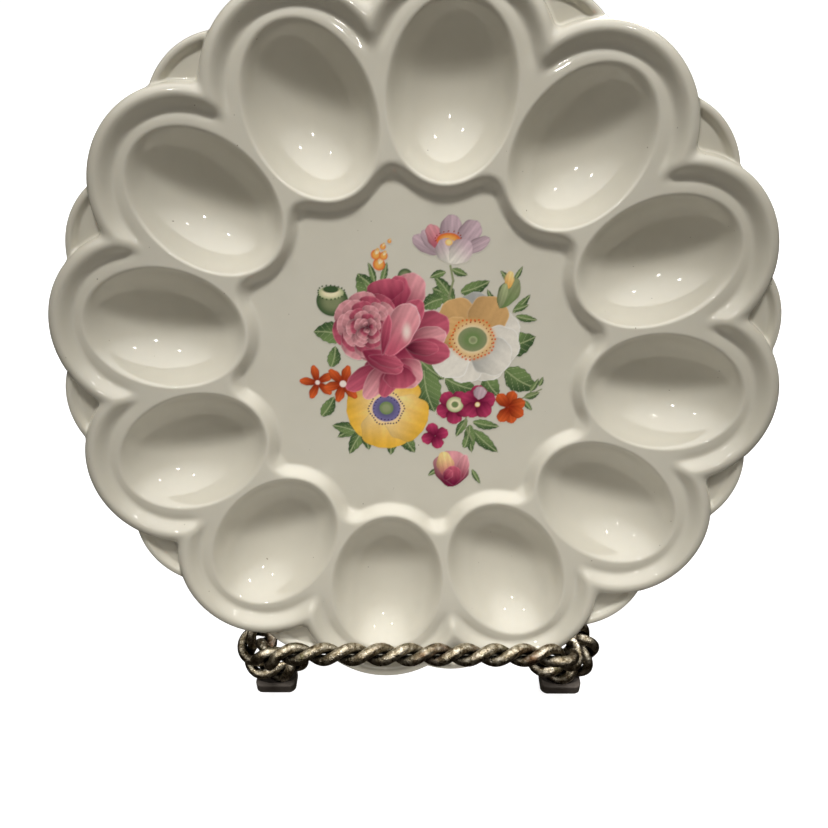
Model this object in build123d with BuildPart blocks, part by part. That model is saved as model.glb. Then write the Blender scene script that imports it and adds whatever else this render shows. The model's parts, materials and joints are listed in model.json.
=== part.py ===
from build123d import *

import os
from math import cos, pi, radians, sin, sqrt

# A stoneware egg tray with twelve wells and a scalloped double rim, leaning on a folding easel
# of two-strand twisted wire. Millimetres. +Z is up, the tray faces -Y, and the origin is on the
# floor in the middle of the whole object's plan box. The tray and the stand's frame are drawn
# in leaning coordinates: x to the right, y up the slope and z out of the tray's face.

# --- Driving dimensions -------------------------------------------------------------------
LEAN = 18.0  # how far the tray and the frame lean back from upright, in degrees
TRAY_HEIGHT = 148.2  # the middle of the tray's face above the floor
TRAY_SETBACK = 21.55  # the middle of the tray's face in front of the origin

# Tray
WELLS = 12
FIRST_WELL = 82.5  # direction of the first well, in degrees
WELL_RADIUS = 87.0  # from the tray's middle to each well's middle
WELL_HALF_LENGTH = 27.0
WELL_HALF_WIDTH = 20.0
WELL_DEPTH = 14.0
LEDGE = 4.0  # the band that the wells are sunk in, above the tray's face
WALL = 4.5
CENTRE_FLOOR = 61.0  # radius of the flat middle between two wells
LEDGE_START = 66.0
COLLAR = 5.5  # width of the sloped collar round each well
COLLAR_TOP = 1.0  # width of the collar's flat top
LOBE_CENTRE = 94.4  # from the tray's middle to the middle of each rim lobe
LOBE_LEDGE = 22.5
LOBE_TROUGH = 24.5
LOBE_CREST = 29.1
LOBE_EDGE = 32.1
TROUGH_HEIGHT = 3.4
CREST_HEIGHT = 7.0
UNDER_EDGE = 0.8
UNDER_LOBE = -1.5  # the underside of the ledge
SADDLE_START = 97.0  # inside this radius nothing stands above the ledge
SADDLE_END = 104.0
SCALLOP_CENTRE = 98.0
SCALLOP_RADIUS = 27.0
SCALLOP_LIP = 3.0  # width of the raised lip round each lower scallop
SCALLOP_FLOOR = 1.5
SCALLOP_TOP = 3.3
FOOT_RING_RADIUS = 52.0
FOOT_RING_WIDTH = 4.0
FOOT_RING_BOTTOM = -16.5
OVERCUT = 1.0  # how far a cutting form runs past the surface that it cuts

# Floral transfer: a wide oval with an upper and a lower spray
FILM = 0.1
FILM_HALF_LENGTH = 46.0
FILM_HALF_HEIGHT = 37.0
SPRAY_SIDE = 12.0
SPRAY_REACH = 30.0
SPRAY_HALF_WIDTH = 18.0
SPRAY_HALF_HEIGHT = 20.0

# Twisted wire
STRAND_RADIUS = 2.08
STRAND_OFFSET = 2.2  # from a rope's centreline to each strand's axis
ROPE_RADIUS = STRAND_RADIUS + STRAND_OFFSET
TWIST_PITCH = 21.5
POINTS_PER_TURN = 12

# Stand
FRAME_DEPTH = -21.0  # the frame's plane behind the tray's face
UPRIGHT_SPACING = 98.8
ARCH_SPRING = 38.0  # where the arch starts, up the slope
SCROLL_RADIUS = 11.6
SCROLL_CENTRE = -131.0
SCROLL_TURN = 285.0
ARM_SPREAD = 120.0
ARM_LEVEL = -115.9
RAIL_LEVEL = -111.0
RAIL_DEPTH = 12.0
RAIL_HALF_LENGTH = 52.0
ARM_BEND = 7.0
FRAME_PHASE = 45.0
RAIL_PHASE = 40.0
LEG_PHASE = 0.0
PAD_LENGTH = 17.0
PAD_WIDTH = 11.0
PAD_HEIGHT = 4.4
PAD_CORNER = 3.0
PAD_ROUND = 0.8

# Rear leg and its hinge
HINGE_LEVEL = 25.0
ROD_RADIUS = 1.5
RUNNING_GAP = 0.06
BARREL_RADIUS = 3.1
BARREL_LENGTH = 54.0
BARREL_CHAMFER = 0.4
STOP_BAR_LEVEL = 33.5
TAB_WIDTH = 12.0
TAB_THICKNESS = 1.5
TAB_TOP = 39.0
LEG_SPREAD = 42.0
LEG_BEND = 10.0
LEG_REACH = 60.0  # how far the leg's foot stands behind the hinge
BOOT_WALL = 1.6
BOOT_LENGTH = 19.0
BOOT_FLAT = 8.0  # width of the boot's flat sole
FERRULE_LENGTH = 9.0
FERRULE_WALL = 0.8
COLLAR_LENGTH = 5.0
COLLAR_LIFT = 16.0  # from the scroll's middle up to the collar
COLLAR_WALL = 1.2
TOUCH = 0.05  # the gap left between pieces that are brazed together
ROPE_END = 1.15  # how far a rope's slanted wire ends reach past its centreline's end

# --- Planes -------------------------------------------------------------------------------
slope = Vector(0, sin(radians(LEAN)), cos(radians(LEAN)))
facing = Vector(0, -cos(radians(LEAN)), sin(radians(LEAN)))
tray_plane = Plane(origin=(0, -TRAY_SETBACK, TRAY_HEIGHT), x_dir=(1, 0, 0), z_dir=facing)
frame_plane = tray_plane.offset(FRAME_DEPTH)

hinge_point = frame_plane.from_local_coords(Vector(0, HINGE_LEVEL, 0))
leg_foot = Vector(0, hinge_point.Y + LEG_REACH, ROPE_RADIUS + BOOT_WALL)
leg_up = (hinge_point - leg_foot).normalized()
leg_plane = Plane(origin=hinge_point, x_dir=(1, 0, 0), z_dir=Vector(1, 0, 0).cross(leg_up))
leg_length = (hinge_point - leg_foot).length

os.makedirs("parts", exist_ok=True)


def write(piece, name):
    """Labels a finished piece and writes it as its own STEP file."""
    piece.part.label = name
    export_step(piece.part, f"parts/{name}.step")


# --- Egg tray, built flat and then stood on its plane ---------------------------------------
def well_form(growth):
    """One well's egg-shaped hollow, or with growth the same form that much bigger all round."""
    below_ledge = (WELL_HALF_WIDTH**2 - WELL_DEPTH**2) / (2 * WELL_DEPTH)
    girth = WELL_DEPTH + below_ledge
    half_length = WELL_HALF_LENGTH / sqrt(1 - (below_ledge / girth) ** 2)
    axis_height = LEDGE + below_ledge
    with BuildPart() as form:
        with BuildSketch(Plane.XZ):
            with Locations((WELL_RADIUS, axis_height)):
                Ellipse(half_length + growth, girth + growth)
                Rectangle(3 * half_length, 3 * girth, align=(Align.CENTER, Align.MIN), mode=Mode.SUBTRACT)
        revolve(axis=Axis((0, 0, axis_height), (1, 0, 0)))
    return form


with BuildPart() as well_bulge:
    add(well_form(WALL).part)
    split(bisect_by=Plane.XY, keep=Keep.BOTTOM)

with BuildPart() as lobe:
    with BuildSketch(Plane.XZ):
        with BuildLine():
            Polyline(
                (LOBE_CENTRE + LOBE_CREST, CREST_HEIGHT),
                (LOBE_CENTRE, CREST_HEIGHT),
                (LOBE_CENTRE, UNDER_LOBE),
                (LOBE_CENTRE + LOBE_LEDGE, UNDER_LOBE),
                (LOBE_CENTRE + LOBE_CREST, UNDER_EDGE),
            )
            ThreePointArc(
                (LOBE_CENTRE + LOBE_CREST, UNDER_EDGE),
                (LOBE_CENTRE + LOBE_EDGE, (UNDER_EDGE + CREST_HEIGHT) / 2),
                (LOBE_CENTRE + LOBE_CREST, CREST_HEIGHT),
            )
        make_face()
    revolve(axis=Axis((LOBE_CENTRE, 0, 0), (0, 0, 1)))

with BuildPart() as lobe_bowl:
    with BuildSketch(Plane.XZ):
        with BuildLine():
            Polyline(
                (LOBE_CENTRE, 2 * CREST_HEIGHT),
                (LOBE_CENTRE, LEDGE),
                (LOBE_CENTRE + LOBE_LEDGE, LEDGE),
                (LOBE_CENTRE + LOBE_TROUGH, TROUGH_HEIGHT),
                (LOBE_CENTRE + LOBE_CREST, CREST_HEIGHT + OVERCUT),
                (LOBE_CENTRE + LOBE_CREST, 2 * CREST_HEIGHT),
                close=True,
            )
        make_face()
    revolve(axis=Axis((LOBE_CENTRE, 0, 0), (0, 0, 1)))

with BuildPart() as rim:
    with PolarLocations(0, WELLS, start_angle=FIRST_WELL):
        add(lobe.part)
    with PolarLocations(0, WELLS, start_angle=FIRST_WELL):
        add(lobe_bowl.part, mode=Mode.SUBTRACT)
    with BuildSketch(Plane.XZ):
        with BuildLine():
            Polyline(
                (0, LEDGE),
                (SADDLE_START, LEDGE),
                (SADDLE_END, CREST_HEIGHT + OVERCUT),
                (SADDLE_END, 2 * CREST_HEIGHT),
                (0, 2 * CREST_HEIGHT),
                close=True,
            )
        make_face()
    revolve(axis=Axis.Z, mode=Mode.SUBTRACT)

with BuildPart() as scallop:
    with BuildSketch(Plane.XY.offset(UNDER_LOBE)):
        with Locations((SCALLOP_CENTRE, 0)):
            Circle(SCALLOP_RADIUS)
    extrude(amount=SCALLOP_TOP - UNDER_LOBE)
    with BuildSketch(Plane.XY.offset(SCALLOP_FLOOR)):
        with Locations((SCALLOP_CENTRE, 0)):
            Circle(SCALLOP_RADIUS - SCALLOP_LIP)
    extrude(amount=SCALLOP_TOP, mode=Mode.SUBTRACT)

with BuildPart() as well_collar:
    with BuildSketch(Plane.XY.offset(-OVERCUT)):
        with Locations((WELL_RADIUS, 0)):
            Ellipse(WELL_HALF_LENGTH + COLLAR, WELL_HALF_WIDTH + COLLAR)
    with BuildSketch(Plane.XY.offset(LEDGE)):
        with Locations((WELL_RADIUS, 0)):
            Ellipse(WELL_HALF_LENGTH + COLLAR_TOP, WELL_HALF_WIDTH + COLLAR_TOP)
    loft()

with BuildPart() as dish:
    with BuildSketch(Plane.XZ):
        with BuildLine():
            Polyline(
                (0, 0),
                (CENTRE_FLOOR, 0),
                (LEDGE_START, LEDGE),
                (SADDLE_START, LEDGE),
                (SADDLE_START, UNDER_LOBE),
                (LEDGE_START, UNDER_LOBE),
                (FOOT_RING_RADIUS + FOOT_RING_WIDTH, -WALL),
                (0, -WALL),
                close=True,
            )
        make_face()
        with Locations((FOOT_RING_RADIUS, -WALL / 2)):
            Rectangle(FOOT_RING_WIDTH, -FOOT_RING_BOTTOM - WALL / 2, align=(Align.CENTER, Align.MAX))
    revolve(axis=Axis.Z)

with BuildPart() as flat_tray:
    add(dish.part)
    with PolarLocations(0, WELLS, start_angle=FIRST_WELL + 180 / WELLS):
        add(scallop.part)
    add(rim.part)
    with PolarLocations(0, WELLS, start_angle=FIRST_WELL):
        add(well_collar.part)
    with PolarLocations(0, WELLS, start_angle=FIRST_WELL):
        add(well_bulge.part)
    with PolarLocations(0, WELLS, start_angle=FIRST_WELL):
        add(well_form(0).part, mode=Mode.SUBTRACT)

with BuildPart(tray_plane) as egg_tray:
    add(flat_tray.part)
write(egg_tray, "egg_tray")

# The floral transfer is one thin film, cut round the bouquet.
with BuildPart() as floral_transfer:
    with BuildSketch(tray_plane):
        Ellipse(FILM_HALF_LENGTH, FILM_HALF_HEIGHT)
        with Locations((SPRAY_SIDE, SPRAY_REACH), (SPRAY_SIDE, -SPRAY_REACH)):
            Ellipse(SPRAY_HALF_WIDTH, SPRAY_HALF_HEIGHT)
    extrude(amount=FILM)
write(floral_transfer, "floral_transfer")


# --- Twisted wire ---------------------------------------------------------------------------
def strand(centreline, first_normal, phase, seam_outwards):
    """One round wire wound left-handed round a rope's centreline. The twist is kept from
    turning with the bends by carrying its zero direction along the centreline. The seam of
    the wire's surface starts on the outside of the rope, or where the plane puts it."""
    count = round(centreline.length / TWIST_PITCH * POINTS_PER_TURN)
    turns = centreline.length / TWIST_PITCH
    normal = first_normal
    axis_points = []
    for i in range(count + 1):
        tangent = centreline % (i / count)
        normal = (normal - tangent * normal.dot(tangent)).normalized()
        angle = radians(phase) - 2 * pi * turns * i / count
        around = normal * cos(angle) + tangent.cross(normal) * sin(angle)
        axis_points.append(centreline @ (i / count) + around * STRAND_OFFSET)
    with BuildPart() as wire:
        with BuildLine() as axis_line:
            Spline(*axis_points)
        start = axis_line.line @ 0
        seam = start - centreline @ 0 if seam_outwards else None
        with BuildSketch(Plane(origin=start, x_dir=seam, z_dir=axis_line.line % 0)):
            Circle(STRAND_RADIUS)
        sweep(is_frenet=True)
    return wire


def write_rope(centreline, first_normal, name, phase, seam_outwards=False):
    """Writes the two strands of one rope, half a turn apart."""
    write(strand(centreline, first_normal, phase, seam_outwards), f"{name}_strand_a")
    write(strand(centreline, first_normal, phase + 180, seam_outwards), f"{name}_strand_b")


upright_x = UPRIGHT_SPACING / 2
scroll_x = upright_x + SCROLL_RADIUS

# One rope makes the whole frame: a scroll foot, an upright, the arch, an upright, a scroll foot.
with BuildLine(frame_plane) as frame_line:
    CenterArc((-scroll_x, SCROLL_CENTRE), SCROLL_RADIUS, -SCROLL_TURN, SCROLL_TURN)
    Line((-upright_x, SCROLL_CENTRE), (-upright_x, ARCH_SPRING))
    CenterArc((0, ARCH_SPRING), upright_x, 180, -180)
    Line((upright_x, ARCH_SPRING), (upright_x, SCROLL_CENTRE))
    CenterArc((scroll_x, SCROLL_CENTRE), SCROLL_RADIUS, 180, SCROLL_TURN)
write_rope(frame_line.wire(), facing, "back_frame", FRAME_PHASE)

# The front rope comes forward from each scroll as an arm and crosses the tray as a rail.
arm_x = ARM_SPREAD / 2
arm_start = FRAME_DEPTH + ROPE_RADIUS + ROPE_END
with BuildLine(tray_plane) as lip_line:
    FilletPolyline(
        (-arm_x, ARM_LEVEL, arm_start),
        (-arm_x, ARM_LEVEL, RAIL_DEPTH),
        (-RAIL_HALF_LENGTH, RAIL_LEVEL, RAIL_DEPTH),
        (RAIL_HALF_LENGTH, RAIL_LEVEL, RAIL_DEPTH),
        (arm_x, ARM_LEVEL, RAIL_DEPTH),
        (arm_x, ARM_LEVEL, arm_start),
        radius=ARM_BEND,
    )
write_rope(lip_line.wire(), Vector(1, 0, 0), "front_lip", RAIL_PHASE)

# --- Foot pads ------------------------------------------------------------------------------
scroll_bottom = frame_plane.from_local_coords(Vector(0, SCROLL_CENTRE - SCROLL_RADIUS, 0))
scroll_planes = []
for side in (-1, 1):
    centre = frame_plane.from_local_coords(Vector(side * scroll_x, SCROLL_CENTRE, 0))
    scroll_planes.append(Plane(origin=centre, x_dir=(1, 0, 0), z_dir=facing))

with BuildPart() as foot_pads:
    with BuildSketch():
        with Locations((-scroll_x, scroll_bottom.Y), (scroll_x, scroll_bottom.Y)):
            RectangleRounded(PAD_LENGTH, PAD_WIDTH, PAD_CORNER)
    extrude(amount=PAD_HEIGHT)
    fillet(foot_pads.edges().group_by(Axis.Z)[-1], PAD_ROUND)
    with Locations(*scroll_planes):
        Torus(SCROLL_RADIUS, ROPE_RADIUS + TOUCH, mode=Mode.SUBTRACT)
write(foot_pads, "foot_pads")

# --- Hinge rod and stop bar, brazed across the frame -----------------------------------------
rod_length = 2 * (upright_x - ROPE_RADIUS - TOUCH)


def cross_rod(level):
    """A straight rod across the frame, between the two uprights."""
    centre = frame_plane.from_local_coords(Vector(-rod_length / 2, level, 0))
    with BuildPart() as rod:
        with BuildSketch(Plane(origin=centre, x_dir=slope, z_dir=(1, 0, 0))):
            Circle(ROD_RADIUS)
        extrude(amount=rod_length)
    return rod


write(cross_rod(HINGE_LEVEL), "hinge_rod")
write(cross_rod(STOP_BAR_LEVEL), "stop_bar")

# --- Rear leg -------------------------------------------------------------------------------
barrel_plane = Plane(origin=hinge_point - Vector(BARREL_LENGTH / 2, 0, 0), x_dir=slope, z_dir=(1, 0, 0))
with BuildPart() as leg_barrel:
    with BuildSketch(barrel_plane):
        Circle(BARREL_RADIUS)
        Circle(ROD_RADIUS + RUNNING_GAP, mode=Mode.SUBTRACT)
    extrude(amount=BARREL_LENGTH)
    chamfer(leg_barrel.edges().filter_by(GeomType.CIRCLE), BARREL_CHAMFER)
write(leg_barrel, "leg_barrel")

# The tab stands up from the barrel and bears on the back of the stop bar when the leg is open.
tab_front = -ROD_RADIUS - TOUCH
with BuildPart() as stop_tab:
    with BuildSketch(frame_plane.offset(tab_front)):
        with Locations((0, HINGE_LEVEL)):
            Rectangle(TAB_WIDTH, TAB_TOP - HINGE_LEVEL, align=(Align.CENTER, Align.MIN))
    extrude(amount=-TAB_THICKNESS)
    with BuildSketch(barrel_plane):
        Circle(BARREL_RADIUS + TOUCH / 2)
    extrude(amount=BARREL_LENGTH, mode=Mode.SUBTRACT)
write(stop_tab, "stop_tab")

leg_x = LEG_SPREAD / 2
leg_top = -BARREL_RADIUS - ROPE_END
with BuildLine(leg_plane) as leg_line:
    FilletPolyline(
        (-leg_x, leg_top),
        (-leg_x, -leg_length),
        (leg_x, -leg_length),
        (leg_x, leg_top),
        radius=LEG_BEND,
    )
write_rope(leg_line.wire(), leg_plane.z_dir, "rear_leg", LEG_PHASE, seam_outwards=True)

ferrule_top = hinge_point - leg_up * (BARREL_RADIUS + TOUCH)
ferrule_plane = Plane(origin=ferrule_top, x_dir=(1, 0, 0), z_dir=-leg_up)
with BuildPart() as leg_ferrules:
    with BuildSketch(ferrule_plane):
        with Locations((-leg_x, 0), (leg_x, 0)):
            Circle(ROPE_RADIUS + TOUCH + FERRULE_WALL)
            Circle(ROPE_RADIUS + TOUCH, mode=Mode.SUBTRACT)
    extrude(amount=FERRULE_LENGTH)
write(leg_ferrules, "leg_ferrules")

boot_plane = Plane(origin=leg_foot - Vector(BOOT_LENGTH / 2, 0, 0), x_dir=(0, 1, 0), z_dir=(1, 0, 0))
with BuildPart() as leg_boot:
    with BuildSketch(boot_plane):
        Circle(ROPE_RADIUS + BOOT_WALL)
        Rectangle(BOOT_FLAT, ROPE_RADIUS + BOOT_WALL, align=(Align.CENTER, Align.MAX))
        Circle(ROPE_RADIUS + TOUCH, mode=Mode.SUBTRACT)
    extrude(amount=BOOT_LENGTH)
write(leg_boot, "leg_boot")


# --- Collars round the uprights, just above the scrolls ---------------------------------------
def collar_plane(x, level):
    """A plane across the upright at x, facing up the slope."""
    return Plane(origin=frame_plane.from_local_coords(Vector(x, level, 0)), x_dir=(1, 0, 0), z_dir=slope)


with BuildPart() as scroll_collars:
    for x in (-upright_x, upright_x):
        with BuildSketch(collar_plane(x, SCROLL_CENTRE + COLLAR_LIFT)):
            Circle(ROPE_RADIUS + TOUCH + COLLAR_WALL)
            Circle(ROPE_RADIUS + TOUCH, mode=Mode.SUBTRACT)
        extrude(amount=COLLAR_LENGTH)
write(scroll_collars, "scroll_collars")
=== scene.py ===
"""The looks of a ceramic egg tray on a folding easel of twisted wire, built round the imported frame."""
import json
from math import cos, pi, radians, sin, sqrt

import bpy
import numpy as np
from mathutils import Matrix, Vector


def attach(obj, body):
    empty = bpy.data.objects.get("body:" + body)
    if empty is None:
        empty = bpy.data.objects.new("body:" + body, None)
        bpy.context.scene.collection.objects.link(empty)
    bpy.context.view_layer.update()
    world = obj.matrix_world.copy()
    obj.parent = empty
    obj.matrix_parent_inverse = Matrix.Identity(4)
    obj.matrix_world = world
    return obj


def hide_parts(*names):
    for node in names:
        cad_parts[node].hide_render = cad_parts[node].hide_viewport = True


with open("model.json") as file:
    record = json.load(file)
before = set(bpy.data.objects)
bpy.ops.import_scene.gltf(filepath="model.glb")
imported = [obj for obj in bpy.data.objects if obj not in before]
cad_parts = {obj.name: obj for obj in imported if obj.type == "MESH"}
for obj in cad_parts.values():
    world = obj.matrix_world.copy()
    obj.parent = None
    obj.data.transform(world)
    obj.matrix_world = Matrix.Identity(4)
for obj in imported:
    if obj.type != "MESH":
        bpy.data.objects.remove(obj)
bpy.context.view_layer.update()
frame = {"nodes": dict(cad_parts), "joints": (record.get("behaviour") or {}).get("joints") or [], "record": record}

MM = 0.001

# --- Where the tray stands: its axes and the middle of its face, read from the frame ------------
lift = next(joint for joint in frame["joints"] if joint["name"] == "tray_lift")
slope = Vector(lift["axis"]).normalized()
across = Vector((1, 0, 0))
facing = across.cross(slope)

CREST = 7.0  # the rim's crest above the tray's face, in mm
tray_points = np.array([v.co for v in frame["nodes"]["egg_tray"].data.vertices])
up_slope = tray_points @ np.array(slope)
out_of_face = tray_points @ np.array(facing)
tray_middle = slope * ((up_slope.min() + up_slope.max()) / 2) + facing * (out_of_face.max() - CREST * MM)
TRAY = np.array([across, slope, facing])  # rows: the tray's own x, y and z in row axes


def stand_up(points_mm):
    """Points in the tray's own millimetres, as points in the row frame in metres."""
    return points_mm @ TRAY * MM + np.array(tray_middle)


# --- Small maths --------------------------------------------------------------------------------
def smoothstep(low, high, x):
    t = np.clip((x - low) / (high - low), 0, 1)
    return t * t * (3 - 2 * t)


def smooth_min(a, b, k):
    h = np.clip(0.5 + 0.5 * (b - a) / k, 0, 1)
    return b * (1 - h) + a * h - k * h * (1 - h)


def mix(a, b, t):
    return a * (1 - t) + b * t


def round_off(x, start, width):
    """1 up to start, then a quarter ellipse down to 0 at start + width."""
    return np.sqrt(np.clip(1 - np.clip((x - start) / width, 0, 1) ** 2, 0, 1))


# --- The tray's form, in its own millimetres ----------------------------------------------------
WELLS = 12
FIRST_WELL = 82.5
STEP = 360 / WELLS
WELL_RADIUS, WELL_LONG, WELL_WIDE, WELL_DEPTH = 87.0, 27.0, 20.0, 14.0
LEDGE = 4.0
WALL = 4.5
LOBE_CENTRE, LOBE_TROUGH, LOBE_CREST, LOBE_EDGE = 94.4, 24.0, 28.2, 32.0
EDGE_HEIGHT = 3.4
SCALLOP_CENTRE, SCALLOP_LIP, SCALLOP_EDGE = 98.0, 25.2, 26.9
SCALLOP_FLOOR, SCALLOP_TOP, SCALLOP_MID = 1.4, 3.2, 1.9
SADDLE_START, SADDLE_END = 97.0, 104.5
FOOT_RADIUS, FOOT_BOTTOM = 52.0, -16.4
FILM_TOP = 0.06
sink = (WELL_WIDE**2 - WELL_DEPTH**2) / (2 * WELL_DEPTH)
girth = WELL_DEPTH + sink
well_reach = WELL_LONG / sqrt(1 - (sink / girth) ** 2)
well_axis = LEDGE + sink


def fold(theta):
    """The angle from the nearest well's middle line, in radians, for directions in degrees."""
    return np.radians((theta - FIRST_WELL + STEP / 2) % STEP - STEP / 2)


def near_wells(r, phi):
    """x and y in the axes of the nearest well and its two neighbours."""
    for k in (-1, 0, 1):
        turn = phi - radians(STEP * k)
        yield r * np.cos(turn), r * np.sin(turn)


def lobe_distance(r, phi):
    """Distance to the nearest rim lobe's middle, with the valleys between lobes softened."""
    distance = np.full(np.broadcast(r, phi).shape, 1e3)
    for x, y in near_wells(r, phi):
        distance = smooth_min(distance, np.hypot(x - LOBE_CENTRE, y), 3.0)
    return np.where(r > SADDLE_START, distance, 0)


def scallop_distance(r, phi):
    """Distance to the middle of the nearest lower scallop, which sits between two lobes."""
    turn = np.abs(phi) - radians(STEP / 2)
    return np.hypot(r * np.cos(turn) - SCALLOP_CENTRE, r * np.sin(turn))


def bowl_height(r, phi, growth):
    """The wells' egg-shaped surface, or with growth a larger one round it."""
    height = np.full(np.broadcast(r, phi).shape, well_axis)
    for x, y in near_wells(r, phi):
        inside = 1 - ((x - WELL_RADIUS) / (well_reach + growth)) ** 2 - (y / (girth + growth)) ** 2
        height = np.minimum(height, well_axis - (girth + growth) * np.sqrt(np.clip(inside, 0, 1)))
    return height


def well_distance(r, phi):
    """How far a point lies outside the nearest well's mouth."""
    distance = np.full(np.broadcast(r, phi).shape, 1e3)
    for x, y in near_wells(r, phi):
        px, py = (x - WELL_RADIUS) / WELL_LONG, y / WELL_WIDE
        level = np.hypot(px, py) + 1e-6
        rate = np.hypot(px / WELL_LONG, py / WELL_WIDE) / level
        distance = smooth_min(distance, (level - 1) / rate, 1.5)
    return distance


def outline(phi):
    """The tray's outer radius: lobes with the lower scallops between them."""
    low, high = np.full(phi.shape, 100.0), np.full(phi.shape, 130.0)
    for _ in range(40):
        middle = (low + high) / 2
        inside = lobe_distance(middle, phi) < LOBE_EDGE
        low, high = np.where(inside, middle, low), np.where(inside, high, middle)
    turn = np.abs(phi) - radians(STEP / 2)
    reach = SCALLOP_EDGE**2 - (SCALLOP_CENTRE * np.sin(turn)) ** 2
    scallop = SCALLOP_CENTRE * np.cos(turn) + np.sqrt(np.clip(reach, 0, None))
    return np.maximum(low, scallop)


def face_height(r, phi):
    """The glazed front of the tray."""
    collar = smoothstep(5.6, 0.9, well_distance(r, phi))
    band = smoothstep(60.5, 66.5, r)
    z = LEDGE * (1 - (1 - collar) * (1 - band))
    lobe = lobe_distance(r, phi)
    outer = smoothstep(SADDLE_START, SADDLE_END, r)
    rise = smoothstep(LOBE_TROUGH - 0.8, LOBE_CREST + 0.4, lobe)
    trough = np.exp(-(((lobe - LOBE_TROUGH) / 2.2) ** 2))
    z = z + outer * ((CREST - LEDGE) * rise - 0.55 * trough)
    z = EDGE_HEIGHT + (z - EDGE_HEIGHT) * round_off(lobe, LOBE_CREST, LOBE_EDGE - LOBE_CREST)
    scallop = scallop_distance(r, phi)
    lower = SCALLOP_FLOOR + (SCALLOP_TOP - SCALLOP_FLOOR) * smoothstep(22.6, SCALLOP_LIP - 0.3, scallop)
    lower = SCALLOP_MID + (lower - SCALLOP_MID) * round_off(scallop, SCALLOP_LIP, SCALLOP_EDGE - SCALLOP_LIP)
    z = np.where(lobe > LOBE_EDGE, mix(EDGE_HEIGHT, lower, smoothstep(LOBE_EDGE, LOBE_EDGE + 0.9, lobe)), z)
    return smooth_min(z, bowl_height(r, phi, 0), 3.4)


def back_height(r, phi):
    """The underside: thin wall, a bulge under each well and the foot ring."""
    lobe = lobe_distance(r, phi)
    z = mix(-WALL, -1.5, smoothstep(58, 68, r)) + 2.3 * smoothstep(22, LOBE_CREST, lobe) * (r > SADDLE_START)
    z = EDGE_HEIGHT + (z - EDGE_HEIGHT) * round_off(lobe, LOBE_CREST - 0.6, LOBE_EDGE - LOBE_CREST + 0.6)
    scallop = scallop_distance(r, phi)
    lower = SCALLOP_MID - (SCALLOP_MID + 0.9) * round_off(scallop, 23.5, SCALLOP_EDGE - 23.5)
    over = (scallop < SCALLOP_EDGE + 0.01) & (r > SADDLE_START)
    z = np.where(over, smooth_min(z, lower, 0.8), z)
    z = smooth_min(z, bowl_height(r, phi, WALL), 4.0)
    foot = FOOT_BOTTOM + 0.35 * np.abs(r - FOOT_RADIUS) ** 4
    return smooth_min(z, foot, 1.6)


def wobble(x, y):
    """The slight unevenness of hand-finished ware, never outwards and none under the transfer."""
    waves = np.sin(0.047 * x + 0.9) * np.cos(0.053 * y - 0.4) + 0.5 * np.sin(0.11 * y + 0.07 * x)
    return (0.09 * waves - 0.14) * smoothstep(51, 64, np.hypot(x, y))


# --- Mesh helpers -------------------------------------------------------------------------------
def new_object(name, mesh, body):
    piece = bpy.data.objects.new(name, mesh)
    bpy.context.scene.collection.objects.link(piece)
    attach(piece, body)
    return piece


def make_mesh(name, points, faces):
    mesh = bpy.data.meshes.new(name)
    mesh.from_pydata(points, [], faces)
    mesh.validate()
    mesh.shade_smooth()
    return mesh


def ring_faces(first, second, count):
    """Quads between two closed rings that start at these vertex numbers."""
    i = np.arange(count)
    j = (i + 1) % count
    return np.stack([first + i, first + j, second + j, second + i], axis=1)


SPOKES = 1080


def build_tray():
    theta = np.arange(SPOKES) * 360 / SPOKES
    phi = fold(theta)
    edge = outline(phi)
    inner_front = np.concatenate([np.linspace(4, 54, 9), np.linspace(55, 97, 62)])
    inner_back = np.concatenate([np.linspace(4, 47, 7), np.linspace(48, 56, 22), np.linspace(57.5, 97, 34)])
    front_rings = [np.full(SPOKES, r) for r in inner_front]
    front_rings += [97 + (edge - 97) * t for t in np.linspace(0, 1, 66)[1:]]
    back_rings = [np.full(SPOKES, r) for r in inner_back]
    back_rings += [97 + (edge - 97) * t for t in np.linspace(0, 1, 40)[1:-1] ** 0.9]
    points, faces = [], []
    angle = np.radians(theta)

    def add_rings(rings, height):
        starts = []
        for r in rings:
            starts.append(sum(len(p) for p in points))
            x, y = r * np.cos(angle), r * np.sin(angle)
            points.append(np.stack([x, y, height(r, phi) + wobble(x, y)], axis=1))
        return starts

    front = add_rings(front_rings, face_height)
    back = add_rings(back_rings, back_height)
    middle_front = sum(len(p) for p in points)
    centre = wobble(0, 0)
    points.append(np.array([[0, 0, centre], [0, 0, centre - WALL]]))
    for inner, outer in zip(front, front[1:]):
        faces.append(ring_faces(outer, inner, SPOKES))
    loop = back + [front[-1]]
    for inner, outer in zip(loop, loop[1:]):
        faces.append(ring_faces(inner, outer, SPOKES))
    i = np.arange(SPOKES)
    j = (i + 1) % SPOKES
    caps = [(middle_front, front[0] + a, front[0] + b) for a, b in zip(i, j)]
    caps += [(middle_front + 1, back[0] + b, back[0] + a) for a, b in zip(i, j)]
    local = np.concatenate(points)
    all_faces = [tuple(int(v) for v in f) for block in faces for f in block] + caps
    mesh = make_mesh("egg_tray_ware", stand_up(local), all_faces)
    bare = mesh.attributes.new("bare_foot", "FLOAT", "POINT")
    radius = np.hypot(local[:, 0], local[:, 1])
    bare.data.foreach_set("value", smoothstep(-15.6, -16.2, local[:, 2]) * (np.abs(radius - FOOT_RADIUS) < 4))
    return new_object("egg_tray_ware", mesh, "tray")


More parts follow.
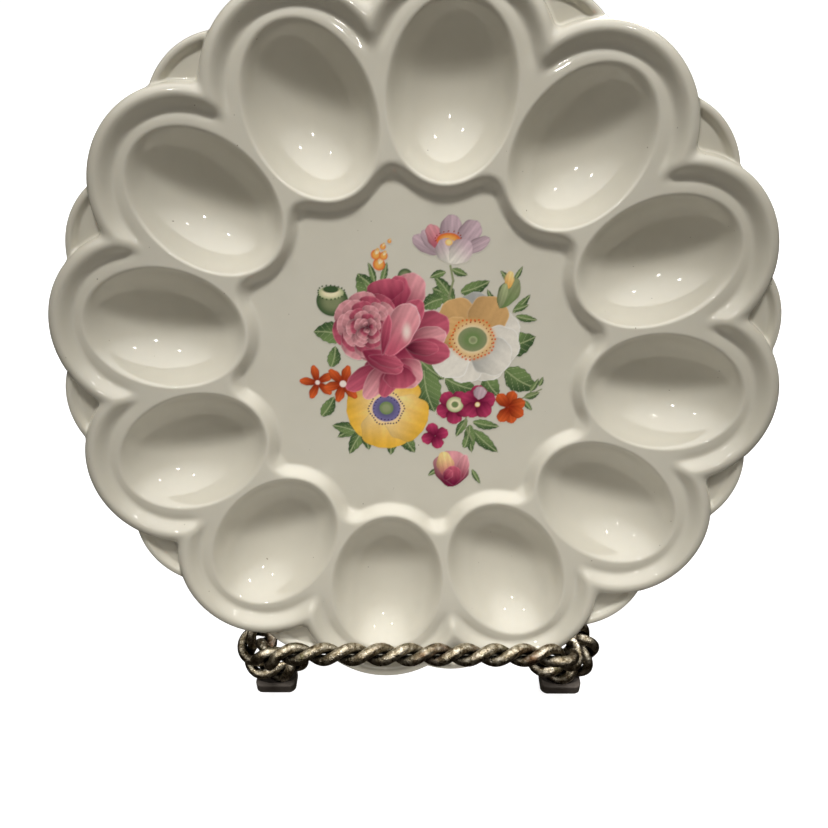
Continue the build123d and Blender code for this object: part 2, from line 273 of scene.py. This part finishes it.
# --- The floral transfer, painted petal by petal on a fine grid ---------------------------------
PAINT_STEP = 0.27
PAINT_GAIN = 1.18  # from the colours as seen on the tray in a soft light to the paint's own
paint_x, paint_y = np.meshgrid(np.arange(-45.5, 45.6, PAINT_STEP), np.arange(-49.4, 49.5, PAINT_STEP))
paint = np.zeros((*paint_x.shape, 3))
cover = np.zeros(paint_x.shape)


def rgb(r, g, b):
    """A colour as linear light, from 0-255 values."""
    c = np.array([r, g, b]) / 255
    return np.where(c <= 0.04045, c / 12.92, ((c + 0.055) / 1.055) ** 2.4)


IVORY = np.array([0.556, 0.531, 0.451])  # the glaze under the paint, before the gain
ROSE, ROSE_DARK, ROSE_DEEP = rgb(182, 86, 106), rgb(128, 42, 66), rgb(84, 20, 40)
ROSE_LIGHT, ROSE_PALE = rgb(216, 150, 156), rgb(236, 212, 204)
LEAF, LEAF_DARK, LEAF_LIGHT = rgb(106, 128, 80), rgb(60, 82, 52), rgb(162, 172, 128)
YELLOW, YELLOW_LIGHT, YELLOW_DARK = rgb(226, 176, 66), rgb(238, 206, 142), rgb(190, 136, 40)
WHITE, WHITE_SHADE, TAN = rgb(216, 211, 200), rgb(160, 160, 156), rgb(196, 156, 104)
ORANGE, ORANGE_DARK = rgb(204, 92, 46), rgb(138, 44, 22)
MAGENTA, MAGENTA_DARK = rgb(170, 56, 92), rgb(104, 22, 54)
LILAC, VIOLET, VIOLET_DARK = rgb(188, 164, 172), rgb(98, 92, 130), rgb(52, 38, 78)
SAGE, GOLD, CREAM = rgb(128, 136, 100), rgb(222, 164, 84), rgb(232, 220, 184)
paint[...] = IVORY


def lay(mask, colour):
    """Paints a colour, plain or one for each point, wherever mask is more than 0."""
    global cover
    paint[...] = mix(paint, colour, mask[..., None])
    cover = np.maximum(cover, mask)


def blend_colours(a, b, t):
    return mix(a, b, t[..., None])


def petal(x, y, angle, length, width, base, tip, fat=0.55, rim=0.0, streak=0.08, shade=0.35):
    """A petal from its root at x, y. rim lightens its edge, or darkens it when it is negative."""
    a = radians(angle)
    u = ((paint_x - x) * cos(a) + (paint_y - y) * sin(a)) / length
    v = (-(paint_x - x) * sin(a) + (paint_y - y) * cos(a)) / (width / 2)
    inside = (u > 0) & (u < 1)
    profile = np.where(inside, np.sin(pi * np.clip(u, 0, 1) ** 1.15) ** fat, 0)
    ripple = 0.04 * np.sin(9 * np.arctan2(v, u) + x) + 0.03 * np.sin(17 * u + y)
    gap = np.minimum((profile + ripple - np.abs(v)) * width / 2, (1 - u) * length * 0.9)
    mask = smoothstep(0.0, 0.4, gap) * inside
    colour = blend_colours(base, tip, smoothstep(0.05, 0.95, u))
    lines = 1 + streak * np.sin(v * 11 + 3 * u) + 0.5 * streak * np.sin(v * 23 - 5 * u)
    side = 1 - shade * smoothstep(-0.1, 1.0, v * (1 if angle % 360 < 180 else -1))
    edge = 1 - smoothstep(0.15, 0.8, gap)
    colour = colour * (lines * side)[..., None]
    target = colour * 0.55 if rim < 0 else np.minimum(colour * 1.5 + 0.12, 0.85)
    lay(mask, blend_colours(colour, target, edge * abs(rim)))


def leaf(x, y, angle, length, width, dark=LEAF_DARK, light=LEAF, veins=5, teeth=0.04):
    """A veined leaf from its root at x, y."""
    a = radians(angle)
    u = ((paint_x - x) * cos(a) + (paint_y - y) * sin(a)) / length
    v = (-(paint_x - x) * sin(a) + (paint_y - y) * cos(a)) / (width / 2)
    v = v + 0.18 * np.sin(3 * u)
    inside = (u > 0) & (u < 1)
    profile = np.where(inside, np.sin(pi * np.clip(u, 0, 1) ** 0.8) ** 0.8, 0)
    gap = (profile + teeth * np.sin(2 * pi * u * 5) - np.abs(v)) * width / 2
    mask = smoothstep(0.0, 0.35, gap) * inside
    colour = blend_colours(dark, light, smoothstep(-0.8, 0.9, v + 0.4 * np.sin(5 * u)))
    side_vein = np.abs(((u - 0.34 * np.abs(v)) * veins) % 1 - 0.5) * 2
    vein = np.maximum(smoothstep(0.85, 0.99, side_vein) * 0.5, smoothstep(0.34, 0.08, np.abs(v * width / 2)) * 0.75)
    colour = blend_colours(colour, LEAF_LIGHT, vein)
    edge = 1 - smoothstep(0.1, 0.55, gap)
    lay(mask, blend_colours(colour, dark * 0.7, edge * 0.6))


def disc(x, y, rx, ry, colour, rim_colour=None, soft=0.4):
    """A round patch whose colour can change towards its edge."""
    level = np.hypot((paint_x - x) / rx, (paint_y - y) / ry)
    mask = smoothstep(1, 1 - soft / min(rx, ry), level)
    shown = colour if rim_colour is None else blend_colours(colour, rim_colour, smoothstep(0.3, 1.0, level))
    lay(mask, shown)


def dots(x, y, rx, ry, count, size, colour, wander=0.25):
    """A ring of small dots, such as anthers."""
    for i in range(count):
        angle = 2 * pi * i / count
        reach = 1 + wander * 0.22 * sin(5.3 * i + x)
        disc(x + rx * reach * cos(angle), y + ry * reach * sin(angle), size, size, colour, soft=size * 0.6)


def stem(points, width, colour):
    """A thin stem through these points."""
    for (ax, ay), (bx, by) in zip(points, points[1:]):
        run = np.array([bx - ax, by - ay])
        t = np.clip(((paint_x - ax) * run[0] + (paint_y - ay) * run[1]) / (run @ run), 0, 1)
        distance = np.hypot(paint_x - ax - t * run[0], paint_y - ay - t * run[1])
        lay(smoothstep(width / 2 + 0.2, width / 2 - 0.15, distance), colour)


def flower(x, y, radius, petals, start, base, tip, width=1.0, **finish):
    """A round of equal petals."""
    for i in range(petals):
        petal(x, y, start + 360 * i / petals, radius, radius * width, base, tip, **finish)


def paint_leaves():
    for spot in (
        (-15, 20, 118, 11, 8), (-25, 8, 172, 11, 8), (-30, -3, 78, 8, 5), (-34, -21, 58, 9, 5),
        (-18, -24, 205, 12, 5), (-21, -27, 165, 10, 5), (-19, -26, 240, 11, 5), (-18, -25, 275, 9, 4.5),
        (-8, -26, 262, 10, 5), (-5, -27, 300, 9, 5.5), (3, -2, 285, 9, 9), (0, 1, 320, 13, 8),
        (29, 4, 18, 13, 9), (31, -4, 330, 13, 9), (24, -6, 305, 9, 7), (10, -7, 340, 12, 8),
        (13, 20, 150, 9, 7), (9, 21, 205, 8, 6), (11.5, 22, 130, 9, 4), (15, 23, 22, 11, 5),
        (16, 22, 350, 9, 4), (10, 30, 200, 6, 3), (12, 31, 340, 6, 3), (18, -22, 240, 8, 3.5),
        (20, -23, 350, 10, 4), (20, -26, 318, 13, 5), (19, -24, 275, 11, 4.5), (17, -33, 75, 6, 3.5),
        (8, -41, 215, 5, 2.4), (20, -41, 300, 7, 2.4), (27, 16, 110, 9, 3), (32, 26, 130, 6, 2.4),
        (33, 27, 60, 6, 2), (33, 16, 48, 9, 3), (34, 15, 350, 8, 3), (33, 17, 20, 6, 2.6),
        (38, -14, 20, 6, 3), (40, -12, 60, 6, 2.4), (38, -15, 310, 5, 2.4), (43, -10, 70, 4, 2),
        (-14, 26, 108, 8, 2.6), (-12, 26, 75, 8, 2.6), (-15, 25, 140, 6, 2.4),
    ):
        leaf(*spot)
    leaf(2.5, -4, 285, 16, 11, LEAF_DARK, LEAF, 7)
    stem([(11.5, 32), (12.5, 27), (11, 21)], 0.7, SAGE)
    stem([(20, -30), (17, -24), (18, -20)], 0.6, SAGE)
    stem([(30, -17), (36, -15), (44, -11)], 0.4, SAGE)


def paint_rose():
    disc(-7, 5, 10, 9, ROSE_DARK, ROSE)
    petal(-6, 17, 62, 14, 12, ROSE_DARK, ROSE_LIGHT, rim=0.35)
    petal(-7, 17, 84, 12, 9, ROSE_DARK, ROSE, rim=0.5)
    petal(-10, 20, 98, 8, 14, ROSE_DARK, ROSE, rim=0.3)
    petal(-6, 6, 24, 19, 13, ROSE_DARK, ROSE, rim=0.7)
    petal(-5, 5, 14, 16, 9, ROSE_DARK, ROSE_LIGHT, rim=0.6)
    petal(-4, 4, 352, 16, 10, ROSE_DARK, ROSE, rim=0.6)
    petal(-4, 4, 358, 12, 6, ROSE_DEEP, ROSE, rim=0.3)
    petal(-8, -1, 318, 12, 12, ROSE_DARK, ROSE_LIGHT, rim=0.6)
    petal(-8, -1, 308, 10, 7, ROSE_DARK, ROSE, rim=0.5)
    petal(-12, 1, 250, 11, 10, ROSE_DARK, ROSE, rim=0.3)
    petal(-10, -1, 214, 18, 8, ROSE_DARK, ROSE, rim=0.5)
    petal(-8, 0, 234, 18, 8, ROSE_DARK, ROSE_LIGHT, rim=0.4)
    petal(-7, -1, 248, 14, 7, ROSE_DARK, ROSE, rim=0.5)
    petal(-6, -2, 270, 9, 12, ROSE_DARK, ROSE, rim=0.5)
    rounds = ((12.6, 8, 11.5, 12), (11.0, 8, 9.5, 40), (9.4, 7, 8.6, 5), (7.8, 7, 7.0, 30), (6.3, 6, 6.0, 0), (4.9, 5, 5.2, 20))
    for reach, petals, width, start in rounds + ((3.5, 4, 4.0, 50), (2.2, 3, 2.6, 10)):
        for i in range(petals):
            angle = start + 360 * i / petals
            tone = ROSE_LIGHT if (i + petals) % 3 else ROSE
            petal(-16.8, 11.2, angle, reach, width, ROSE_DEEP * 0.8, tone * 0.84, fat=0.45, rim=0.45, shade=0.55)
    petal(-19, 3, 332, 16, 8, ROSE_DARK, ROSE, rim=0.6)
    petal(-17, 1, 345, 13, 5, ROSE_DARK, ROSE, rim=0.4)
    petal(-11, 4, 52, 21, 10, ROSE_DARK, ROSE, rim=0.6)
    petal(-10.5, 1.5, 62, 20, 11.5, ROSE, ROSE_LIGHT, fat=0.42, rim=0.85, shade=0.45)
    disc(-3.4, 9.6, 2.8, 5.4, ROSE_PALE * 0.95, ROSE_LIGHT, soft=2.8)
    petal(-12, 1, 80, 15, 4, ROSE_DARK, ROSE, rim=0.8)


def paint_anemones():
    for angle, tone in ((18, WHITE), (88, WHITE_SHADE), (128, TAN), (60, TAN), (345, WHITE), (300, WHITE), (250, WHITE)):
        petal(20, 7, angle, 16.5, 15, tone * 0.85, tone, rim=0.5, streak=0.03, shade=0.2)
    petal(19, 6, 325, 16, 15, WHITE_SHADE, WHITE, rim=0.6, streak=0.03, shade=0.2)
    petal(18, 5, 222, 15, 14, WHITE, WHITE, rim=0.6, streak=0.03, shade=0.3)
    petal(19, 8, 168, 11, 12, TAN, TAN * 1.1, rim=0.3, streak=0.05)
    disc(19.4, 6.9, 9.0, 8.2, CREAM * 0.9, GOLD * 0.85, soft=2.5)
    dots(19.4, 6.9, 7.6, 7.0, 34, 0.50, ORANGE)
    dots(19.4, 6.9, 6.6, 6.0, 26, 0.36, ORANGE_DARK)
    disc(19.4, 6.9, 5.3, 4.5, LEAF, SAGE)
    disc(19.6, 6.6, 1.7, 1.6, SAGE, LEAF_LIGHT)
    for angle, reach in ((62, 14.5), (130, 14.6), (195, 14.2), (268, 15.2), (335, 15.8)):
        petal(-11, -18, angle, reach, 18.5, YELLOW_LIGHT, YELLOW * 0.96, fat=0.42, rim=-0.3, streak=0.05, shade=0.2)
    disc(-10.8, -18.1, 7.4, 7.0, LILAC * 1.1, YELLOW_LIGHT, soft=2.4)
    dots(-10.8, -18.1, 6.1, 5.9, 38, 0.42, VIOLET_DARK)
    disc(-10.8, -18.1, 5.2, 5.0, VIOLET * 0.8, VIOLET * 1.35)
    dots(-10.8, -18.1, 4.6, 4.4, 22, 0.34, VIOLET_DARK)
    disc(-10.8, -17.9, 2.7, 2.6, LEAF_LIGHT * 0.7, LEAF)


def paint_lotus():
    petal(8, 36, 148, 11, 6, LILAC * 0.85, LILAC, rim=-0.3)
    petal(8, 36, 128, 10, 5, LILAC * 0.8, LILAC, rim=-0.3)
    petal(9, 37, 120, 10, 6, ROSE, ROSE_LIGHT * 0.9, rim=-0.2)
    petal(11.5, 38, 88, 11, 8, LILAC * 0.75, LILAC, rim=-0.25)
    petal(14, 38, 52, 11, 8, LILAC * 0.8, LILAC * 1.05, rim=-0.3)
    petal(15, 36, 28, 11, 5, LILAC * 0.75, LILAC, rim=-0.4)
    disc(10.8, 40.5, 4.4, 2.6, GOLD, ORANGE)
    dots(10.8, 41.2, 4.4, 2.2, 16, 0.34, ORANGE_DARK)
    petal(12, 32.8, 112, 9, 8, WHITE, LILAC, rim=-0.2)
    petal(11.5, 32.8, 50, 10, 8, WHITE, LILAC * 1.1, rim=-0.2)
    disc(10.9, 39.8, 1.5, 1.3, YELLOW_LIGHT, GOLD)


def paint_small_flowers():
    flower(-35, -8.5, 6.6, 5, 30, ORANGE_DARK, ORANGE, 0.52, rim=-0.5)
    flower(-26, -9, 7.2, 6, 12, ORANGE_DARK, ORANGE, 0.52, rim=-0.5)
    disc(-26, -9, 1.4, 1.4, ROSE_PALE)
    disc(-35, -8.5, 1.0, 1.0, ROSE_PALE)
    flower(13.2, -17.5, 6.6, 5, 200, MAGENTA_DARK, MAGENTA, 0.95, rim=-0.3)
    disc(13.6, -16.6, 3.2, 3.0, CREAM, LEAF_LIGHT)
    disc(13.6, -16.6, 1.5, 1.4, LEAF, SAGE)
    flower(21.8, -15.8, 6.5, 5, 18, MAGENTA_DARK, MAGENTA, 0.98, rim=-0.3)
    petal(22, -14.8, 82, 5, 5, LILAC * 0.9, LILAC, rim=-0.2)
    disc(21.6, -16.6, 1.1, 1.1, CREAM, GOLD)
    for angle in (75, 130, 20, 285, 330, 240):
        petal(32.6, -17.6, angle, 6.4, 4.8, ORANGE_DARK, ORANGE * 0.95, rim=-0.3)
    flower(6.5, -28.3, 5.2, 4, 20, MAGENTA_DARK, MAGENTA * 1.1, 0.95, rim=-0.2)
    disc(-28.8, 20.2, 5.7, 5.4, SAGE * 0.9, LEAF_DARK)
    disc(-29.2, 23.0, 4.8, 2.4, CREAM, LEAF_LIGHT)
    dots(-29.2, 23.2, 4.6, 2.4, 20, 0.42, LEAF_DARK)
    disc(-29.2, 24.2, 3.2, 1.4, LEAF_DARK)
    disc(-3.8, 28.4, 2.8, 3.0, SAGE, LEAF_DARK)
    for x, y, size in ((-12.6, 32.6, 2.3), (-13.6, 35.8, 1.9), (-11.0, 35.4, 1.6), (-11.2, 38.4, 1.2), (-9, 40.2, 0.9)):
        disc(x, y, size, size, GOLD, ORANGE)
        petal(x, y, 70, size * 1.3, size, CREAM, GOLD)
    petal(28.5, 17.5, 62, 12, 7.5, LEAF, SAGE * 1.1, rim=-0.3)
    petal(31, 24, 82, 6.5, 3.6, GOLD, YELLOW_LIGHT, rim=-0.1)
    petal(28.5, 17.5, 78, 9, 3.6, SAGE, LEAF_LIGHT, rim=-0.3)


def paint_rosebud():
    petal(12.5, -48, 90, 14.2, 13.5, MAGENTA_DARK, ROSE_LIGHT, fat=0.45, rim=-0.25)
    petal(11.4, -45, 100, 11, 6.5, ROSE, YELLOW_LIGHT, rim=-0.1)
    petal(15.4, -46, 78, 11, 5, ROSE_DARK, ROSE_LIGHT, rim=0.5)
    petal(13.6, -47.6, 96, 8, 7, MAGENTA_DARK, ROSE, rim=0.4)
    petal(10, -45.5, 60, 5, 4, MAGENTA_DARK, ROSE, rim=0.4)


def build_transfer():
    paint_leaves()
    paint_anemones()
    paint_lotus()
    paint_small_flowers()
    paint_rose()
    paint_rosebud()
    rows, columns = paint_x.shape
    number = np.arange(rows * columns).reshape(rows, columns)
    shown = cover > 0.12
    quads = shown[:-1, :-1] | shown[1:, :-1] | shown[:-1, 1:] | shown[1:, 1:]
    corners = np.stack([number[:-1, :-1], number[:-1, 1:], number[1:, 1:], number[1:, :-1]], axis=-1)[quads]
    used, faces = np.unique(corners, return_inverse=True)
    flat = np.stack([paint_x.ravel(), paint_y.ravel(), np.full(paint_x.size, FILM_TOP)], axis=1)[used]
    mesh = make_mesh("floral_transfer_paint", stand_up(flat), [tuple(int(v) for v in f) for f in faces.reshape(-1, 4)])
    colours = mesh.color_attributes.new("paint", "FLOAT_COLOR", "POINT")
    values = np.ones((len(used), 4))
    values[:, :3] = np.clip(paint.reshape(-1, 3)[used] * PAINT_GAIN, 0, 0.9)
    colours.data.foreach_set("color", values.ravel())
    return new_object("floral_transfer_paint", mesh, "tray")


def transfer_material():
    material, tree, surface = new_material("transfer_print")
    colour = node(tree, "ShaderNodeAttribute", attribute_name="paint").outputs["Color"]
    grain = ramp(tree, noise(tree, 900, 3), [(0.3, grey(0.93)), (0.7, grey(1.0))])
    tree.links.new(mixed(tree, 1.0, colour, grain, "MULTIPLY"), surface.inputs["Base Color"])
    gloss = ramp(tree, noise(tree, 60, 3), [(0.3, grey(0.12)), (0.7, grey(0.2))])
    tree.links.new(gloss, surface.inputs["Roughness"])
    surface.inputs["IOR"].default_value = 1.5
    tree.links.new(bump(tree, noise(tree, 260, 3), 0.08, 0.0003), surface.inputs["Normal"])
    return material


# --- Material helpers ---------------------------------------------------------------------------
def new_material(name):
    material = bpy.data.materials.new(name)
    material.use_nodes = True
    return material, material.node_tree, material.node_tree.nodes["Principled BSDF"]


def node(tree, kind, **values):
    made = tree.nodes.new(kind)
    for key, value in values.items():
        if key in made.inputs:
            made.inputs[key].default_value = value
        else:
            setattr(made, key, value)
    return made


def coordinates(tree):
    return node(tree, "ShaderNodeTexCoord").outputs["Object"]


def noise(tree, scale, detail=4.0, roughness=0.55, where=None):
    made = node(tree, "ShaderNodeTexNoise", Scale=scale, Detail=detail, Roughness=roughness)
    tree.links.new(where or coordinates(tree), made.inputs["Vector"])
    return made.outputs["Fac"]


def ramp(tree, value, stops):
    """A colour ramp: stops are (position, (r, g, b))."""
    made = tree.nodes.new("ShaderNodeValToRGB")
    elements = made.color_ramp.elements
    while len(elements) < len(stops):
        elements.new(0.5)
    for element, (position, colour) in zip(elements, stops):
        element.position = position
        element.color = (*colour, 1)
    tree.links.new(value, made.inputs["Fac"])
    return made.outputs["Color"]


def grey(value):
    return (value, value, value)


def mixed(tree, factor, a, b, blend="MIX"):
    """Mixes two colours, each a socket or a plain colour, by a socket or number."""
    made = node(tree, "ShaderNodeMix", data_type="RGBA", blend_type=blend)
    for socket, value in ((made.inputs[0], factor), (made.inputs[6], a), (made.inputs[7], b)):
        if isinstance(value, bpy.types.NodeSocket):
            tree.links.new(value, socket)
        elif isinstance(value, (int, float)):
            socket.default_value = value
        else:
            socket.default_value = (*value, 1)
    return made.outputs[2]


def bump(tree, height, strength, distance):
    made = node(tree, "ShaderNodeBump", Strength=strength, Distance=distance)
    tree.links.new(height, made.inputs["Height"])
    return made.outputs["Normal"]


def glaze_material():
    material, tree, surface = new_material("glaze")
    drift = ramp(tree, noise(tree, 9, 3), [(0.3, (0.632, 0.602, 0.507)), (0.7, (0.680, 0.652, 0.558))])
    fine = ramp(tree, noise(tree, 140, 5), [(0.35, grey(0.975)), (0.75, grey(1.0))])
    tinted = mixed(tree, 1.0, drift, fine, "MULTIPLY")
    specks = ramp(tree, noise(tree, 640, 1, 0.4), [(0.165, (0.2, 0.16, 0.11)), (0.19, grey(1.0))])
    speckled = mixed(tree, 0.7, tinted, specks, "MULTIPLY")
    bare = node(tree, "ShaderNodeAttribute", attribute_name="bare_foot").outputs["Fac"]
    biscuit = ramp(tree, noise(tree, 420, 6), [(0.3, (0.55, 0.47, 0.36)), (0.7, (0.68, 0.6, 0.48))])
    tree.links.new(mixed(tree, bare, speckled, biscuit), surface.inputs["Base Color"])
    gloss = ramp(tree, noise(tree, 30, 4), [(0.3, grey(0.045)), (0.75, grey(0.11))])
    tree.links.new(mixed(tree, bare, gloss, grey(0.85)), surface.inputs["Roughness"])
    surface.inputs["IOR"].default_value = 1.55
    surface.inputs["Subsurface Weight"].default_value = 0.08
    surface.inputs["Subsurface Radius"].default_value = (0.004, 0.003, 0.002)
    surface.inputs["Subsurface Scale"].default_value = 0.5
    tree.links.new(bump(tree, noise(tree, 55, 2), 0.10, 0.0006), surface.inputs["Normal"])
    return material


def wire_material(name, brightness=1.0):
    """Antique patina: worn silver-bronze where hands and dust rub, and dark brown in the hollows from painted shade,
    which also stands for tarnish gathered there.
    """
    material, tree, surface = new_material(name)
    tones = ((0.30, (0.050, 0.036, 0.022)), (0.43, (0.24, 0.195, 0.125)), (0.54, (0.56, 0.50, 0.39)), (0.66, (0.88, 0.83, 0.72)))
    scuffs = noise(tree, 420, 6, 0.68)
    body = ramp(tree, scuffs, [(at, tuple(brightness * v for v in tone)) for at, tone in tones])
    rust = ramp(tree, noise(tree, 75, 4), [(0.54, grey(0.0)), (0.70, grey(0.85))])
    body = mixed(tree, rust, body, (0.17, 0.075, 0.035))
    green = ramp(tree, noise(tree, 120, 4), [(0.60, grey(0.0)), (0.74, grey(0.7))])
    body = mixed(tree, green, body, (0.19, 0.19, 0.09))
    # Painted shade: an occlusion term darkens the colour in the hollows between the strands, partly for tarnish there
    # and partly for shade.
    shade_in_hollows = node(tree, "ShaderNodeAmbientOcclusion", samples=8, Distance=0.0045).outputs["AO"]
    shade = ramp(tree, shade_in_hollows, [(0.30, grey(0.07)), (0.62, grey(0.45)), (0.90, grey(1.0))])
    tree.links.new(mixed(tree, 1.0, body, shade, "MULTIPLY"), surface.inputs["Base Color"])
    surface.inputs["Metallic"].default_value = 1.0
    rough = ramp(tree, noise(tree, 700, 5), [(0.3, grey(0.20)), (0.7, grey(0.46))])
    tree.links.new(rough, surface.inputs["Roughness"])
    hammered = mixed(tree, 0.4, noise(tree, 520, 3, 0.5), noise(tree, 1700, 3, 0.6))
    tree.links.new(bump(tree, hammered, 0.8, 0.0007), surface.inputs["Normal"])
    return material


def rubber_material():
    material, tree, surface = new_material("grey_rubber")
    colour = ramp(tree, noise(tree, 300, 4), [(0.3, (0.105, 0.090, 0.079)), (0.7, (0.165, 0.143, 0.126))])
    tree.links.new(colour, surface.inputs["Base Color"])
    rough = ramp(tree, noise(tree, 120, 3), [(0.3, grey(0.55)), (0.7, grey(0.75))])
    tree.links.new(rough, surface.inputs["Roughness"])
    tree.links.new(bump(tree, noise(tree, 900, 3), 0.3, 0.0003), surface.inputs["Normal"])
    return material


def give(piece, material):
    piece.data.materials.clear()
    piece.data.materials.append(material)


# --- Build --------------------------------------------------------------------------------------
glaze = glaze_material()
ware = build_tray()
give(ware, glaze)
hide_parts("egg_tray")

transfer = build_transfer()
give(transfer, transfer_material())
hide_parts("floral_transfer")

aged = wire_material("aged_wire")
plain = wire_material("plain_rod", 1.15)
rubber = rubber_material()
slots = {entry["node"]: entry["material_slot"] for entry in frame["record"]["subparts"]}
looks = {"aged_wire": aged, "plain_rod": plain, "grey_rubber": rubber}
for name, piece in frame["nodes"].items():
    if slots[name] in looks:
        give(piece, looks[slots[name]])

# --- Floor, light and camera --------------------------------------------------------------------
def build_floor():
    """A pale floor that takes a soft contact shadow and stays as light as the room behind it."""
    mesh = make_mesh("floor", [(-6, -6, 0), (6, -6, 0), (6, 6, 0), (-6, 6, 0)], [(0, 1, 2, 3)])
    floor = bpy.data.objects.new("floor", mesh)
    bpy.context.scene.collection.objects.link(floor)
    material, tree, surface = new_material("pale_floor")
    surface.inputs["Base Color"].default_value = (0.5, 0.5, 0.5, 1)
    surface.inputs["Roughness"].default_value = 0.9
    surface.inputs["Emission Color"].default_value = (1, 1, 1, 1)
    surface.inputs["Emission Strength"].default_value = 0.86
    give(floor, material)
    floor.visible_glossy = False
    floor.visible_diffuse = False


def build_world():
    """A white room to the camera. What it sheds on the object is bright above and dark below."""
    world = bpy.data.worlds.new("studio")
    bpy.context.scene.world = world
    world.use_nodes = True
    tree = world.node_tree
    height = node(tree, "ShaderNodeSeparateXYZ")
    tree.links.new(node(tree, "ShaderNodeTexCoord").outputs["Generated"], height.inputs[0])
    scaled = node(tree, "ShaderNodeMapRange")
    tree.links.new(height.outputs["Z"], scaled.inputs["Value"])
    scaled.inputs["From Min"].default_value = -1
    scaled.inputs["From Max"].default_value = 1
    stops = [(0.45, (0.030, 0.024, 0.017)), (0.64, (0.016, 0.012, 0.008))]
    stops += [(0.82, (0.11, 0.10, 0.085)), (0.95, (0.70, 0.68, 0.65))]
    sky = ramp(tree, scaled.outputs[0], stops)
    mirrored = [(0.60, (0.020, 0.016, 0.012)), (0.76, (0.16, 0.14, 0.11))]
    mirrored += [(0.92, (2.5, 2.45, 2.3)), (0.98, (3.0, 2.95, 2.8))]
    gleam = ramp(tree, scaled.outputs[0], mirrored)
    path = node(tree, "ShaderNodeLightPath")
    lit = mixed(tree, path.outputs["Is Glossy Ray"], sky, gleam)
    background = tree.nodes["Background"]
    tree.links.new(mixed(tree, path.outputs["Is Camera Ray"], lit, grey(1.0)), background.inputs["Color"])
    background.inputs["Strength"].default_value = 1.0


def area_light(name, place, aim, size, power, colour, mirrored=True):
    data = bpy.data.lights.new(name, "AREA")
    data.shape = "DISK"
    data.size = size
    data.energy = power
    data.color = colour
    lamp = bpy.data.objects.new(name, data)
    bpy.context.scene.collection.objects.link(lamp)
    lamp.location = place
    lamp.visible_glossy = mirrored
    lamp.rotation_mode = "QUATERNION"
    lamp.rotation_quaternion = (Vector(aim) - Vector(place)).to_track_quat("-Z", "Y")


def spot_light(name, place, aim, radius, cone, power, colour):
    """A soft pool of light, brightest at its aim and not mirrored in the glaze."""
    data = bpy.data.lights.new(name, "SPOT")
    data.shadow_soft_size = radius
    data.spot_size = radians(cone)
    data.spot_blend = 1.0
    data.energy = power
    data.color = colour
    lamp = bpy.data.objects.new(name, data)
    bpy.context.scene.collection.objects.link(lamp)
    lamp.location = place
    lamp.visible_glossy = False
    lamp.rotation_mode = "QUATERNION"
    lamp.rotation_quaternion = (Vector(aim) - Vector(place)).to_track_quat("-Z", "Y")


def build_lights():
    aim = tuple(tray_middle)
    low_aim = tuple(tray_middle - slope * 0.06)
    spot_light("overhead", (0.05, -0.35, 1.5), low_aim, 0.12, 17, 80, (1, 0.985, 0.96))
    area_light("bounce", (0, -0.22, 0.003), (0, -0.22, 1), 0.3, 0.25, (1, 0.97, 0.93), False)
    area_light("behind", (0.35, 1.0, 1.0), aim, 0.9, 16, (1, 0.99, 0.97))
    warm = (1, 0.97, 0.92)
    area_light("lamp_left", (-0.55, -0.75, 1.5), aim, 0.05, 0.9, warm)
    area_light("lamp_middle", (0.06, -1.25, 1.35), aim, 0.06, 1.3, warm)
    area_light("lamp_right", (0.62, -0.62, 1.5), aim, 0.05, 0.9, warm)


CAMERA_PITCH = 16.607  # how far the view looks down past square to the tray's face, in degrees
CAMERA_YAW = -0.728
CAMERA_SIDE, CAMERA_RISE, CAMERA_RANGE = 0.904, 19.287, 265.6  # the tray's middle before the lens, mm
CAMERA_LENS, SENSOR = 33.04, 36.0


def build_camera():
    data = bpy.data.cameras.new("camera")
    data.sensor_width = SENSOR
    data.lens = CAMERA_LENS
    data.clip_start, data.clip_end = 0.01, 50
    camera = bpy.data.objects.new("camera", data)
    bpy.context.scene.collection.objects.link(camera)
    turn = Matrix.Rotation(radians(CAMERA_YAW), 3, "Y") @ Matrix.Rotation(radians(CAMERA_PITCH), 3, "X")
    tray_axes = Matrix((across, slope, facing)).transposed()
    camera_axes = tray_axes @ turn.transposed()
    reach = Vector((-CAMERA_SIDE, -CAMERA_RISE, CAMERA_RANGE)) * MM
    place = tray_middle + camera_axes @ reach
    camera.matrix_world = Matrix.Translation(place) @ camera_axes.to_4x4()
    bpy.context.scene.camera = camera


build_floor()
build_world()
build_lights()
build_camera()
bpy.context.scene.view_settings.view_transform = "Standard"
